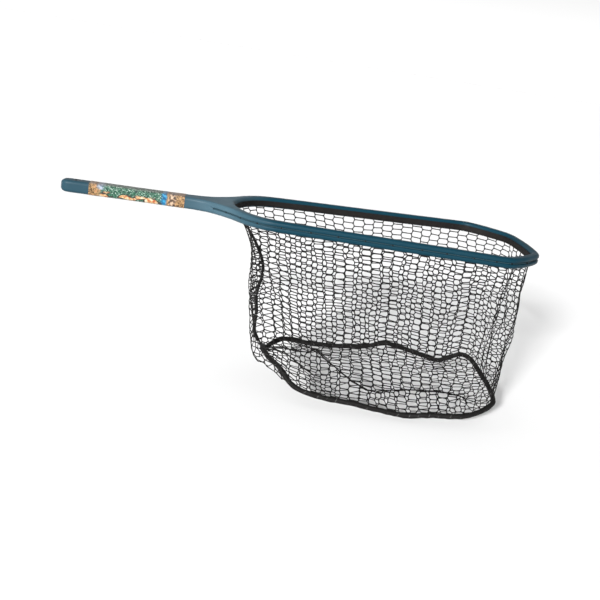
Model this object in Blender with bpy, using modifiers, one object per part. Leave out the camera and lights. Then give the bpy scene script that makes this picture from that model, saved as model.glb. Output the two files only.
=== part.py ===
"""Landing net: a moulded hoop and handle with a rubber mesh bag hanging from the hoop.

X runs along the handle towards the hoop's tip, Y across the hoop, and Z up, out of the bag's mouth.
The origin is the centre of the lanyard hole, at mid height of the moulding. Units are metres.
"""

import math

import bmesh
import bpy
from mathutils import Matrix, Vector

MM = 0.001
GAP = 0.3 * MM

# Frame moulding, as seen from above: (x, half width) in millimetres, from the butt to the tip.
OUTER_HALF = [
    (-26, 0), (-25.6, 3.6), (-24.2, 7.2), (-21.6, 10.4), (-18, 12.6), (-13, 13.6), (10, 13.8),
    (37, 13.2), (87, 12.4), (137, 13.3), (187, 16), (204, 18.6), (217, 23), (226, 28.3),
    (237, 36.5), (247, 45), (257, 55), (267, 67), (277, 79), (287, 88.5), (297, 96),
    (309, 102.5), (322, 106.5), (342, 109.5), (367, 112), (407, 115.2), (467, 120), (527, 125),
    (567, 128.3), (607, 132), (645, 136), (678, 139.4), (694, 140.8), (706, 140.8), (716, 138),
    (726, 132), (742, 119.5), (760, 100.5), (771, 87), (777, 77), (781, 65), (783.4, 45),
    (784.8, 24), (785.5, 0),
]
# The mouth of the hoop: (x, half width) in millimetres, from the throat to the tip.
INNER_HALF = [
    (262.5, 0), (263.1, 8.7), (265, 18), (268.3, 28.4), (273, 39.3), (279.4, 51.3),
    (287.4, 63.2), (297.4, 73.9), (310.4, 83), (325.4, 89), (344, 93.2), (370, 97), (407, 101),
    (467, 106), (527, 111), (607, 118), (645, 122), (676, 125.2), (692, 126.6), (702, 126),
    (711, 122.6), (720, 116), (736, 103.5), (752, 87), (762, 75.5), (767.5, 66), (770.3, 54),
    (771.6, 38), (772.6, 20), (773, 0),
]
HOOP_HALF_HEIGHT = 9.0 * MM
HANDLE_HALF_HEIGHT = 10.1 * MM
TAPER_START_X = 195 * MM
TAPER_END_X = 305 * MM
EDGE_ROUNDING = 4.2 * MM

# The groove round the outside of the hoop, and the lacing in it.
GROOVE_HALF_HEIGHT = 2.1 * MM
GROOVE_DEPTH = 3.0 * MM
GROOVE_START_SETBACK = 3.0 * MM
FIRST_HOLE_X = 228 * MM
FIRST_HOLE_DEPTH = 8.0 * MM
HOLES_X = [249, 272, 301, 340, 385, 431, 473, 518, 563, 606, 648, 684, 709, 744]
TIP_HOLE_Y = 27 * MM
TIP_FACE_X = 770 * MM
HOLE_OVERSHOOT = 4 * MM
HOLE_RADIUS = 1.5 * MM
CORD_RADIUS = 0.9 * MM
CORD_INSET = 1.6 * MM
KNOT_RADIUS = 2.3 * MM
KNOT_INSET = 10.0 * MM
KNOT_POCKET_START = 4 * MM
KNOT_POCKET_END = 14 * MM
# The cord's path from the knot out into the groove: (inset from the side, step towards the tip).
CORD_END_STEPS = [(7.4, 0), (3.4, 0), (2.2, 0.7)]
CORD_GROOVE_SETBACK = 4 * MM
TAB_RADIUS = 1.0 * MM
TAB_END_INSET = 3.9 * MM

# The foam core and the pocket that it fills.
CORE_OUTER_INSET = 5.0 * MM
CORE_INNER_INSET = 2.0 * MM
CORE_HALF_HEIGHT = 7.0 * MM
CORE_JOINT_X = 258 * MM

LANYARD_HOLE_RADIUS = 6.4 * MM
SLEEVE_WALL = 0.8 * MM
LANYARD_CUT = 15 * MM
CIRCLE_POINTS = 32

CUTTER_MARGIN = 2 * MM
HALF_SPACE = 1.0

FILM_START_X = 21 * MM
FILM_END_X = 179 * MM
FILM_THICKNESS = 0.4 * MM
FILM_STATIONS = 9
FILM_CORNER_STEPS = 4

# The rim band and the bag.
BAND_TOP_Z = 3.5 * MM
BAND_BOTTOM_Z = -6.8 * MM
BAND_THICKNESS = 1.6 * MM
WALL_THICKNESS = 1.2 * MM
WALL_COLUMNS = 60
WALL_ROWS = 8
FLOOR_THICKNESS = 1.5 * MM
FLOOR_RINGS = 5
FLOOR_SAG = 6 * MM
SEAM_RADIUS = 3.6 * MM
THROAT_SEAM_RADIUS = 3.2 * MM
WALL_SEAM_GAP = 1.6 * MM
WALL_BAND_GAP = 1.0 * MM
THROAT_SEAM_GAP = 1.5 * MM

# The floor seam's line, (x, y, z) in millimetres, from the throat along the near side to the tip
# and back along the far side. The bag hangs a little unevenly, as soft rubber does.
SEAM_LINE = [
    (345, 0, -245), (348, -29, -241), (355, -58, -241), (372, -82, -246), (400, -95, -272),
    (445, -100, -284), (506, -103, -289), (556, -105, -295), (600, -105, -299),
    (644, -108, -292), (699, -107, -288), (737, -90, -282), (757, -73, -278), (768, -58, -274),
    (772, -10, -266), (772, 42, -263), (758, 86, -249), (743, 101, -249), (726, 107, -260),
    (703, 108, -269), (667, 108, -262), (620, 105, -251), (590, 105, -246), (559, 105, -256),
    (509, 102, -262), (446, 100, -264), (407, 95, -259), (390, 89, -257), (371, 78, -262),
    (357, 56, -265), (349, 29, -254),
]
# How the wall leans in at the throat: (share of the depth, share of the way to the seam line).
THROAT_LEAN = [
    (0, 0), (0.077, 0.25), (0.174, 0.47), (0.277, 0.656), (0.37, 0.767), (0.447, 0.779),
    (0.545, 0.717), (0.63, 0.705), (0.72, 0.767), (0.82, 0.754), (0.894, 0.779), (0.97, 0.914),
    (1, 1),
]
THROAT_LEAN_SPREAD = 0.05

TEAL = (0.012, 0.09, 0.15)
STEEL_BLUE = (0.07, 0.16, 0.22)
BLACK_RUBBER = (0.012, 0.011, 0.011)
CORD_BLACK = (0.01, 0.012, 0.014)
FOAM_CREAM = (0.75, 0.68, 0.5)
FILM_TAN = (0.35, 0.25, 0.13)
SLEEVE_GREY = (0.05, 0.06, 0.07)


# ---------------------------------------------------------------- outlines

def spline_point(a, b, c, d, t):
    """Point at t between b and c on the Catmull-Rom curve through a, b, c and d."""
    return (
        2 * b
        + (c - a) * t
        + (2 * a - 5 * b + 4 * c - d) * t * t
        + (3 * b - a - 3 * c + d) * t * t * t
    ) / 2


def smooth_loop(points, steps):
    """Smooth closed loop through the points, with so many steps between each two."""
    count = len(points)
    loop = []
    for i in range(count):
        four = [Vector(points[(i + k) % count]) for k in (-1, 0, 1, 2)]
        loop += [spline_point(*four, step / steps) for step in range(steps)]
    return loop


def mirrored(half_mm):
    """Closed loop, anticlockwise from above, from a half outline that starts and ends on the X axis."""
    near = [Vector((x, -y)) * MM for x, y in half_mm]
    far = [Vector((point.x, -point.y)) for point in near[-2:0:-1]]
    return near + far


def offset_loop(loop, distance):
    """The loop with every point moved outwards along its normal."""
    moved = []
    for i, point in enumerate(loop):
        along = (loop[(i + 1) % len(loop)] - loop[i - 1]).normalized()
        moved.append(point + Vector((along.y, -along.x)) * distance)
    return moved


def resampled(loop, count):
    """The closed loop as so many points at equal distances, from its first point on."""
    closed = loop + [loop[0]]
    lengths = [0.0]
    for a, b in zip(closed, closed[1:]):
        lengths.append(lengths[-1] + (b - a).length)
    points = []
    k = 0
    for i in range(count):
        target = lengths[-1] * i / count
        while lengths[k + 1] < target:
            k += 1
        share = (target - lengths[k]) / (lengths[k + 1] - lengths[k])
        points.append(closed[k].lerp(closed[k + 1], share))
    return points


def interpolated(table, x):
    """Value at x of a table of (x, value) pairs, straight between them."""
    for (x0, v0), (x1, v1) in zip(table, table[1:]):
        if x <= x1:
            return v0 + (v1 - v0) * (x - x0) / (x1 - x0)
    return table[-1][1]


def side_point(loop, x, side):
    """Point of the loop at x, on the side of the X axis that side's sign names."""
    count = len(loop)
    for i in range(count):
        a, b = loop[i], loop[(i + 1) % count]
        if min(a.x, b.x) <= x <= max(a.x, b.x) and (a.y + b.y) * side > 0 and a.x != b.x:
            return a.lerp(b, (x - a.x) / (b.x - a.x))
    raise ValueError(f"the outline doesn't reach x = {x}")


def nearest_point(loop, point):
    """Point of the closed loop's edges that lies nearest to the given point."""
    best = loop[0]
    for i, a in enumerate(loop):
        b = loop[(i + 1) % len(loop)]
        share = (point - a).dot(b - a) / (b - a).length_squared
        place = a.lerp(b, min(max(share, 0.04), 0.96))
        if (place - point).length < (best - point).length:
            best = place
    return best


def half_height(x):
    """Half the moulding's height: the handle is a little deeper than the hoop."""
    share = min(max((x - TAPER_START_X) / (TAPER_END_X - TAPER_START_X), 0), 1)
    return HANDLE_HALF_HEIGHT + (HOOP_HALF_HEIGHT - HANDLE_HALF_HEIGHT) * share


# ---------------------------------------------------------------- shapes

def clear_scene():
    for obj in list(bpy.data.objects):
        bpy.data.objects.remove(obj, do_unlink=True)


def collection(name):
    group = bpy.data.collections.new(name)
    bpy.context.scene.collection.children.link(group)
    return group


def material(name, color, roughness, metallic=0.0):
    mat = bpy.data.materials.new(name)
    mat.use_nodes = True
    shader = mat.node_tree.nodes["Principled BSDF"]
    shader.inputs["Base Color"].default_value = (*color, 1)
    shader.inputs["Roughness"].default_value = roughness
    shader.inputs["Metallic"].default_value = metallic
    return mat


def mesh_object(name, mesh, group):
    obj = bpy.data.objects.new(name, mesh)
    group.objects.link(obj)
    return obj


def cleaned(mesh):
    """Welds the mesh's loose seams and turns its faces outwards."""
    bm = bmesh.new()
    bm.from_mesh(mesh)
    bmesh.ops.remove_doubles(bm, verts=bm.verts, dist=0.005 * MM)
    bmesh.ops.recalc_face_normals(bm, faces=bm.faces)
    bm.to_mesh(mesh)
    bm.free()
    return mesh


def from_curve(curve_obj, group):
    """The curve object as a closed mesh object of the same name; the curve is removed."""
    bpy.context.view_layer.update()
    evaluated = curve_obj.evaluated_get(bpy.context.evaluated_depsgraph_get())
    mesh = cleaned(bpy.data.meshes.new_from_object(evaluated))
    name = curve_obj.name
    matrix = curve_obj.matrix_world.copy()
    bpy.data.objects.remove(curve_obj, do_unlink=True)
    obj = mesh_object(name, mesh, group)
    obj.matrix_world = matrix
    return obj


def plate(name, loops, low, high, group, rounding=0.0):
    """Flat solid between two heights. The first loop is its outline and the others are holes."""
    curve = bpy.data.curves.new(name, "CURVE")
    curve.dimensions = "2D"
    curve.fill_mode = "BOTH"
    curve.extrude = (high - low) / 2 - rounding
    curve.bevel_depth = rounding
    curve.bevel_resolution = 1
    curve.offset = -rounding
    for loop in loops:
        spline = curve.splines.new("POLY")
        spline.points.add(len(loop) - 1)
        for point, place in zip(spline.points, loop):
            point.co = (place.x, place.y, 0, 1)
        spline.use_cyclic_u = True
    obj = mesh_object(name, curve, group)
    obj.location.z = (high + low) / 2
    return from_curve(obj, group)


def tube(name, points, radius, group, cyclic=False):
    """Round cord or seam along the points."""
    curve = bpy.data.curves.new(name, "CURVE")
    curve.dimensions = "3D"
    curve.bevel_depth = radius
    curve.bevel_resolution = 2
    curve.use_fill_caps = True
    spline = curve.splines.new("POLY")
    spline.points.add(len(points) - 1)
    for point, place in zip(spline.points, points):
        point.co = (*place, 1)
    spline.use_cyclic_u = cyclic
    obj = from_curve(mesh_object(name, curve, group), group)
    obj.data.shade_smooth()
    return obj


def loft(name, rings, group, thickness, offset, cap=None):
    """Shell of even thickness over rings with equal numbers of points; cap closes the last ring."""
    bm = bmesh.new()
    rows = [[bm.verts.new(point) for point in ring] for ring in rings]
    count = len(rows[0])
    for upper, lower in zip(rows, rows[1:]):
        for i in range(count):
            j = (i + 1) % count
            bm.faces.new((upper[i], lower[i], lower[j], upper[j]))
    if cap:
        centre = bm.verts.new(cap)
        for i in range(count):
            bm.faces.new((rows[-1][i], centre, rows[-1][(i + 1) % count]))
    mesh = bpy.data.meshes.new(name)
    bm.to_mesh(mesh)
    bm.free()
    mesh.shade_smooth()
    obj = mesh_object(name, mesh, group)
    shell = obj.modifiers.new("shell", "SOLIDIFY")
    shell.thickness = thickness
    shell.offset = offset
    return obj


def add_cylinder(bm, start, end, radius, segments=6):
    """Adds a closed cylinder from start to end."""
    axis = end - start
    turn = axis.to_track_quat("Z", "Y").to_matrix().to_4x4()
    roll = Matrix.Rotation(math.pi / segments * 0.8, 4, "Z")
    place = Matrix.Translation((start + end) / 2) @ turn @ roll
    bmesh.ops.create_cone(
        bm, cap_ends=True, segments=segments, radius1=radius, radius2=radius,
        depth=axis.length, matrix=place,
    )


def cylinders(name, runs, radius, group):
    """One mesh of separate cylinders, each along its own run of two points."""
    bm = bmesh.new()
    for start, end in runs:
        add_cylinder(bm, start, end, radius)
    mesh = bpy.data.meshes.new(name)
    bm.to_mesh(mesh)
    bm.free()
    return mesh_object(name, mesh, group)


def box(name, low, high, group):
    bm = bmesh.new()
    bmesh.ops.create_cube(bm, size=1)
    size = Vector(high) - Vector(low)
    middle = (Vector(high) + Vector(low)) / 2
    for vertex in bm.verts:
        vertex.co = middle + Vector(a * b for a, b in zip(vertex.co, size))
    mesh = bpy.data.meshes.new(name)
    bm.to_mesh(mesh)
    bm.free()
    return mesh_object(name, mesh, group)


def as_cutter(obj):
    obj.hide_render = True
    obj.display_type = "WIRE"
    return obj


def triangulated(obj):
    """Splits the mesh's faces into triangles, so that none of them is bent."""
    bm = bmesh.new()
    bm.from_mesh(obj.data)
    bmesh.ops.triangulate(bm, faces=bm.faces)
    bm.to_mesh(obj.data)
    bm.free()


def without_flat_edges(mesh):
    """Welds stray points and merges triangles that lie in one plane."""
    bm = bmesh.new()
    bm.from_mesh(mesh)
    bmesh.ops.remove_doubles(bm, verts=bm.verts, dist=0.002 * MM)
    bmesh.ops.dissolve_limit(
        bm, angle_limit=math.radians(0.02), verts=bm.verts, edges=bm.edges,
        use_dissolve_boundaries=False,
    )
    bmesh.ops.triangulate(bm, faces=bm.faces)
    bm.to_mesh(mesh)
    bm.free()
    return mesh


def apply_boolean(obj, operation, other):
    """Joins, cuts or intersects the object's own mesh with the other's."""
    triangulated(obj)
    triangulated(other)
    change = obj.modifiers.new(operation.lower(), "BOOLEAN")
    change.operation = operation
    change.object = other
    change.solver = "EXACT"
    bpy.context.view_layer.update()
    evaluated = obj.evaluated_get(bpy.context.evaluated_depsgraph_get())
    mesh = bpy.data.meshes.new_from_object(evaluated)
    obj.modifiers.remove(change)
    obj.data = without_flat_edges(mesh)


def duplicate(obj, name, group):
    copy = mesh_object(name, obj.data.copy(), group)
    copy.matrix_world = obj.matrix_world.copy()
    return copy


def taper_height(obj):
    """Deepens the piece towards the handle, as the moulding does."""
    for vertex in obj.data.vertices:
        vertex.co.z *= half_height(vertex.co.x) / HOOP_HALF_HEIGHT


# ---------------------------------------------------------------- lacing layout

def across(point, z=0.0):
    return Vector((point.x, point.y, z))


def lacing_lines(outer, inner):
    """(outer point, inner point) of every lacing hole but the first pair, all round the hoop."""
    lines = []
    for side in (-1, 1):
        places = [side_point(outer, x * MM, side) for x in HOLES_X]
        tip = min((p for p in outer if p.x > TIP_FACE_X), key=lambda p: abs(p.y - side * TIP_HOLE_Y))
        lines += [(place, nearest_point(inner, place)) for place in places + [tip]]
    return lines


def hole_runs(lines, past):
    """Runs that go right through the moulding and past it on both sides."""
    runs = []
    for outside, inside in lines:
        along = (outside - inside).normalized() * past
        runs.append((across(inside - along), across(outside + along)))
    return runs


def tab_runs(lines):
    """Runs of the pull tabs, from inside the band's thickness to just short of the groove."""
    runs = []
    for outside, inside in lines:
        along = (outside - inside).normalized()
        start = inside - along * (GAP + BAND_THICKNESS / 2)
        end = outside - along * TAB_END_INSET
        runs.append((across(start), across(end)))
    return runs


def first_hole_run(outer, side, start_inset, end_inset):
    mouth = side_point(outer, FIRST_HOLE_X, side)
    inwards = Vector((0, -side, 0))
    return across(mouth) + inwards * start_inset, across(mouth) + inwards * end_inset


# ---------------------------------------------------------------- frame

def make_groove_cutter(outer, group):
    outside = offset_loop(outer, CUTTER_MARGIN)
    inside = offset_loop(outer, -GROOVE_DEPTH)
    kept = [i for i, point in enumerate(outer) if point.x > FIRST_HOLE_X - GROOVE_START_SETBACK]
    ring = [outside[i] for i in kept] + [inside[i] for i in reversed(kept)]
    return as_cutter(
        plate("groove_cutter", [ring], -GROOVE_HALF_HEIGHT, GROOVE_HALF_HEIGHT, group)
    )


def make_core_solid(name, outer, inner, shrink, group):
    loops = [
        offset_loop(outer, -CORE_OUTER_INSET - shrink),
        offset_loop(inner, CORE_INNER_INSET + shrink),
    ]
    height = CORE_HALF_HEIGHT - shrink
    core = plate(name, loops, -height, height, group)
    taper_height(core)
    return core


def circle(radius, count):
    turns = [2 * math.pi * i / count for i in range(count)]
    return [Vector((math.cos(turn) * radius, math.sin(turn) * radius)) for turn in turns]


def make_frame(outer, inner, lines, parts, cutters):
    """The two bonded half shells, their foam cores and the lanyard hole's sleeve."""
    paint = material("teal_moulding", TEAL, 0.35)
    blue = material("blue_moulding", STEEL_BLUE, 0.35)
    foam = material("foam", FOAM_CREAM, 0.9)
    sleeve_mat = material("sleeve", SLEEVE_GREY, 0.5)

    whole = plate(
        "moulding", [outer, inner], -HOOP_HALF_HEIGHT, HOOP_HALF_HEIGHT, cutters, EDGE_ROUNDING
    )
    taper_height(whole)
    groove = make_groove_cutter(outer, cutters)
    pocket = as_cutter(make_core_solid("core_pocket", outer, inner, 0, cutters))
    first_runs = [first_hole_run(outer, side, -CUTTER_MARGIN, FIRST_HOLE_DEPTH) for side in (-1, 1)]
    through_runs = hole_runs(lines, HOLE_OVERSHOOT)
    holes = as_cutter(
        cylinders("lacing_holes", through_runs + first_runs, HOLE_RADIUS, cutters)
    )
    lanyard = as_cutter(
        plate("lanyard_cutter", [circle(LANYARD_HOLE_RADIUS, CIRCLE_POINTS)], -LANYARD_CUT, LANYARD_CUT,
              cutters)
    )
    for cutter in (groove, pocket, holes, lanyard):
        apply_boolean(whole, "DIFFERENCE", cutter)

    far = HALF_SPACE
    above = as_cutter(box("above", (-far, -far, GAP / 2), (far, far, far), cutters))
    below = as_cutter(box("below", (-far, -far, -far), (far, far, -GAP / 2), cutters))
    for name, half, mat in (("upper_frame_shell", above, paint), ("lower_frame_shell", below, blue)):
        shell = duplicate(whole, name, parts)
        apply_boolean(shell, "INTERSECT", half)
        finish_mesh(shell, mat)
    as_cutter(whole)

    core = as_cutter(make_core_solid("core_blank", outer, inner, GAP, cutters))
    knot_runs = [first_hole_run(outer, side, KNOT_POCKET_START, KNOT_POCKET_END) for side in (-1, 1)]
    knots = as_cutter(cylinders("knot_pockets", knot_runs, KNOT_RADIUS + GAP, cutters))
    for cutter in (holes, knots, lanyard):
        apply_boolean(core, "DIFFERENCE", cutter)
    near_half = as_cutter(
        box("handle_end", (-far, -far, -far), (CORE_JOINT_X - GAP / 2, far, far), cutters)
    )
    far_half = as_cutter(
        box("hoop_end", (CORE_JOINT_X + GAP / 2, -far, -far), (far, far, far), cutters)
    )
    for name, half in (("handle_core", near_half), ("hoop_core", far_half)):
        piece = duplicate(core, name, parts)
        apply_boolean(piece, "INTERSECT", half)
        finish_mesh(piece, foam)

    sleeve_outside = LANYARD_HOLE_RADIUS - GAP
    sleeve = plate(
        "lanyard_sleeve",
        [circle(radius, CIRCLE_POINTS) for radius in (sleeve_outside, sleeve_outside - SLEEVE_WALL)],
        -HANDLE_HALF_HEIGHT, HANDLE_HALF_HEIGHT, parts,
    )
    finish_mesh(sleeve, sleeve_mat)


def finish_mesh(obj, mat, smooth_angle=40):
    obj.data.materials.clear()
    obj.data.materials.append(mat)
    obj.data.shade_smooth()
    obj.data.set_sharp_from_angle(angle=math.radians(smooth_angle))


def make_grip_film(outer, parts):
    """Thin printed film wrapped round the grip: a sleeve that follows the rounded section."""
    stretch = HANDLE_HALF_HEIGHT / HOOP_HALF_HEIGHT
    rings = []
    for k in range(FILM_STATIONS + 1):
        x = FILM_START_X + (FILM_END_X - FILM_START_X) * k / FILM_STATIONS
        half_width = side_point(outer, x, 1).y
        ring = []
        for quarter in range(4):
            sign_y = (1, -1, -1, 1)[quarter]
            sign_z = (1, 1, -1, -1)[quarter]
            for step in range(FILM_CORNER_STEPS + 1):
                turn = math.pi / 2 * (quarter + step / FILM_CORNER_STEPS)
                y = sign_y * (half_width - EDGE_ROUNDING) + (EDGE_ROUNDING + GAP) * math.cos(turn)
                z = sign_z * (HOOP_HALF_HEIGHT - EDGE_ROUNDING) + EDGE_ROUNDING * math.sin(turn)
                ring.append((x, y, z * stretch + GAP * math.sin(turn)))
        rings.append(ring)
    film = loft("grip_film", rings, parts, FILM_THICKNESS, -1)
    film.data.materials.append(material("printed_film", FILM_TAN, 0.3))
    return film


def make_lacing(outer, parts):
    """The cord in the groove, with an end drawn in through each first hole to a knot."""
    cord_mat = material("lacing_cord", CORD_BLACK, 0.8)
    line = offset_loop(outer, -CORD_INSET)
    in_groove = [across(point) for point in line if point.x >= FIRST_HOLE_X + CORD_GROOVE_SETBACK]
    ends = {}
    for side in (-1, 1):
        mouth = side_point(outer, FIRST_HOLE_X, side)
        inwards = Vector((0, -side, 0))
        ends[side] = [
            across(mouth) + inwards * inset * MM + Vector((ahead * MM, 0, 0))
            for inset, ahead in CORD_END_STEPS
        ]
    path = ends[-1] + in_groove + ends[1][::-1]
    cord = tube("lacing_cord", path, CORD_RADIUS, parts)
    cord.data.materials.append(cord_mat)
    for side, name in ((-1, "lacing_knot_near"), (1, "lacing_knot_far")):
        centre = first_hole_run(outer, side, KNOT_INSET, KNOT_INSET)[0]
        bm = bmesh.new()
        bmesh.ops.create_uvsphere(bm, u_segments=12, v_segments=8, radius=KNOT_RADIUS)
        mesh = bpy.data.meshes.new(name)
        bm.to_mesh(mesh)
        bm.free()
        knot = mesh_object(name, mesh, parts)
        knot.location = centre
        finish_mesh(knot, cord_mat)


# ---------------------------------------------------------------- bag

def make_rim_band(inner, lines, parts, cutters):
    """Rubber band against the inside of the hoop, with a pull tab into every lacing hole."""
    loops = [offset_loop(inner, -GAP), offset_loop(inner, -GAP - BAND_THICKNESS)]
    band = plate("rim_band", loops, BAND_BOTTOM_Z, BAND_TOP_Z, parts)
    bpy.context.view_layer.update()
    band.data.transform(band.matrix_world)
    band.matrix_world = Matrix.Identity(4)
    tabs = as_cutter(cylinders("pull_tabs", tab_runs(lines), TAB_RADIUS, cutters))
    apply_boolean(band, "UNION", tabs)
    finish_mesh(band, material("band_rubber", BLACK_RUBBER, 0.55))


def throat_weight(share_round):
    """1 at the throat, falling to 0 a little way round the bag on each side."""
    distance = min(share_round, 1 - share_round) / THROAT_LEAN_SPREAD
    if distance >= 1:
        return 0.0
    return (1 + math.cos(math.pi * distance)) / 2


def wall_ring(top, bottom, depth_share):
    """The wall's loop at a share of its depth. The throat end leans in sooner than the rest."""
    ring = []
    for i, (upper, lower) in enumerate(zip(top, bottom)):
        weight = throat_weight(i / len(top))
        lean = interpolated(THROAT_LEAN, depth_share)
        share = depth_share + (lean - depth_share) * weight
        place = upper.lerp(lower, share)
        place.z = upper.z + (lower.z - upper.z) * depth_share
        ring.append(place)
    return ring


def throat_line(profile):
    """Line of the throat seam, just outside the wall's profile at the throat."""
    reach = WALL_THICKNESS / 2 + THROAT_SEAM_RADIUS + THROAT_SEAM_GAP
    line = []
    for k, place in enumerate(profile):
        along = profile[min(k + 1, len(profile) - 1)] - profile[max(k - 1, 0)]
        line.append(place + Vector((along.z, 0, -along.x)).normalized() * reach)
    line[0] = line[0] + Vector((0, 0, THROAT_SEAM_RADIUS / 2))
    line[-1] = line[-1].lerp(line[-2], 0.25)
    return line


def make_bag(inner, parts):
    """Wall, throat seam, floor and floor seam."""
    rubber = material("mesh_rubber", BLACK_RUBBER, 0.6)
    seam_mat = material("seam_rubber", BLACK_RUBBER, 0.75)

    hung = offset_loop(inner, -GAP - BAND_THICKNESS / 2)
    top = [across(point, BAND_BOTTOM_Z - WALL_BAND_GAP) for point in resampled(hung, WALL_COLUMNS)]
    seam = resampled(smooth_loop([Vector(p) * MM for p in SEAM_LINE], 6), WALL_COLUMNS)
    rise = Vector((0, 0, SEAM_RADIUS + WALL_SEAM_GAP))
    bottom = [point + rise for point in seam]
    rings = [wall_ring(top, bottom, k / WALL_ROWS) for k in range(WALL_ROWS + 1)]
    wall = loft("bag_wall", rings, parts, WALL_THICKNESS, 0)
    wall.data.materials.append(rubber)

    throat = throat_line([ring[0] for ring in rings])
    throat_seam = tube("throat_seam", throat, THROAT_SEAM_RADIUS, parts)
    throat_seam.data.materials.append(seam_mat)

    floor_seam = tube("floor_seam", seam, SEAM_RADIUS, parts, cyclic=True)
    floor_seam.data.materials.append(seam_mat)

    centre = sum(seam, Vector()) / len(seam)
    edge = []
    for i, point in enumerate(seam):
        along = (seam[(i + 1) % len(seam)] - seam[i - 1]).normalized()
        inwards = Vector((-along.y, along.x, 0)).normalized()
        edge.append(point + inwards * (SEAM_RADIUS + FLOOR_THICKNESS / 2 + GAP))
    floor_rings = []
    for k in range(FLOOR_RINGS):
        share = k / FLOOR_RINGS
        drop = Vector((0, 0, -FLOOR_SAG * math.sin(share * math.pi / 2)))
        floor_rings.append([point.lerp(centre, share) + drop for point in edge])
    cap = centre + Vector((0, 0, -FLOOR_SAG))
    floor = loft("bag_floor", floor_rings, parts, FLOOR_THICKNESS, 0, cap)
    floor.data.materials.append(rubber)


def build():
    clear_scene()
    parts = collection("landing_net")
    cutters = collection("cutters")
    outer = mirrored(OUTER_HALF)
    inner = mirrored(INNER_HALF)
    lines = lacing_lines(outer, inner)
    make_frame(outer, inner, lines, parts, cutters)
    make_grip_film(outer, parts)
    make_lacing(outer, parts)
    make_rim_band(inner, lines, parts, cutters)
    make_bag(inner, parts)


build()
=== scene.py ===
"""Looks of the landing net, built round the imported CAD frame.

The frame's X runs along the handle to the hoop's tip, Y across the hoop, Z up out of the bag's
mouth. Lengths in the frame are in metres, and tables of outlines and lines are in millimetres.
"""

import math

import bmesh
import bpy
import numpy as np
from mathutils import Matrix, Vector, noise


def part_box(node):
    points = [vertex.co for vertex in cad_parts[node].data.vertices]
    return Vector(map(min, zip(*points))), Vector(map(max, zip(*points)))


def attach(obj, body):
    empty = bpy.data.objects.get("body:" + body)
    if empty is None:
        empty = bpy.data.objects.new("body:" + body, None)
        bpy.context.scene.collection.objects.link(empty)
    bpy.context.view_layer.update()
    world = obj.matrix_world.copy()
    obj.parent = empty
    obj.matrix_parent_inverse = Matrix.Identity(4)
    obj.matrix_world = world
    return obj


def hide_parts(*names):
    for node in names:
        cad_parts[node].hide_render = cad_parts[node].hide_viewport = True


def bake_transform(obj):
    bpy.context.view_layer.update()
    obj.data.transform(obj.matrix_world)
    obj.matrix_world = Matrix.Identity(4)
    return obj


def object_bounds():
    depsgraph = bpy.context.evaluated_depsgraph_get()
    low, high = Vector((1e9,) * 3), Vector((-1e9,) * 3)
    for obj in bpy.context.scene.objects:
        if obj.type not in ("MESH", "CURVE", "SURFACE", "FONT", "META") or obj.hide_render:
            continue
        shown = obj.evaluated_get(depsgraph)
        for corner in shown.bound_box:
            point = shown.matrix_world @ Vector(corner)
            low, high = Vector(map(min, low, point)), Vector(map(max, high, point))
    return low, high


MM = 0.001

# Frame moulding from above: (x, half width), from the butt to the tip.
OUTER_HALF = [
    (-26, 0), (-25.6, 3.6), (-24.2, 7.2), (-21.6, 10.4), (-18, 12.6), (-13, 13.6), (10, 13.8),
    (37, 13.2), (87, 12.4), (137, 13.3), (187, 16), (204, 18.6), (217, 23), (226, 28.3),
    (237, 36.5), (247, 45), (257, 55), (267, 67), (277, 79), (287, 88.5), (297, 96),
    (309, 102.5), (322, 106.5), (342, 109.5), (367, 112), (407, 115.2), (467, 120), (527, 125),
    (567, 128.3), (607, 132), (645, 136), (678, 139.4), (694, 140.8), (706, 140.8), (716, 138),
    (726, 132), (742, 119.5), (760, 100.5), (771, 87), (777, 77), (781, 65), (783.4, 45),
    (784.8, 24), (785.5, 0),
]
# The mouth of the hoop: (x, half width), from the throat to the tip.
INNER_HALF = [
    (262.5, 0), (263.1, 8.7), (265, 18), (268.3, 28.4), (273, 39.3), (279.4, 51.3),
    (287.4, 63.2), (297.4, 73.9), (310.4, 83), (325.4, 89), (344, 93.2), (370, 97), (407, 101),
    (467, 106), (527, 111), (607, 118), (645, 122), (676, 125.2), (692, 126.6), (702, 126),
    (711, 122.6), (720, 116), (736, 103.5), (752, 87), (762, 75.5), (767.5, 66), (770.3, 54),
    (771.6, 38), (772.6, 20), (773, 0),
]
HOOP_HALF_HEIGHT = 9.0
HANDLE_HALF_HEIGHT = 10.1
TAPER_START_X = 195
TAPER_END_X = 305

# The floor seam's line, from the throat along the near side to the tip and back.
SEAM_LINE = [
    (345, 0, -245), (348, -29, -241), (355, -58, -241), (372, -82, -246), (400, -95, -272),
    (445, -100, -284), (506, -103, -289), (556, -105, -295), (600, -105, -299),
    (644, -108, -292), (699, -107, -288), (737, -90, -282), (757, -73, -278), (768, -58, -274),
    (772, -10, -266), (772, 42, -263), (758, 86, -249), (743, 101, -249), (726, 107, -260),
    (703, 108, -269), (667, 108, -262), (620, 105, -251), (590, 105, -246), (559, 105, -256),
    (509, 102, -262), (446, 100, -264), (407, 95, -259), (390, 89, -257), (371, 78, -262),
    (357, 56, -265), (349, 29, -254),
]
# How the wall leans in at the throat: (share of the depth, share of the way to the seam line).
THROAT_LEAN = [
    (0, 0), (0.077, 0.25), (0.174, 0.47), (0.277, 0.656), (0.37, 0.767), (0.447, 0.779),
    (0.545, 0.717), (0.63, 0.705), (0.72, 0.767), (0.82, 0.754), (0.894, 0.779), (0.97, 0.914),
    (1, 1),
]
THROAT_LEAN_SPREAD = 0.05

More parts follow.
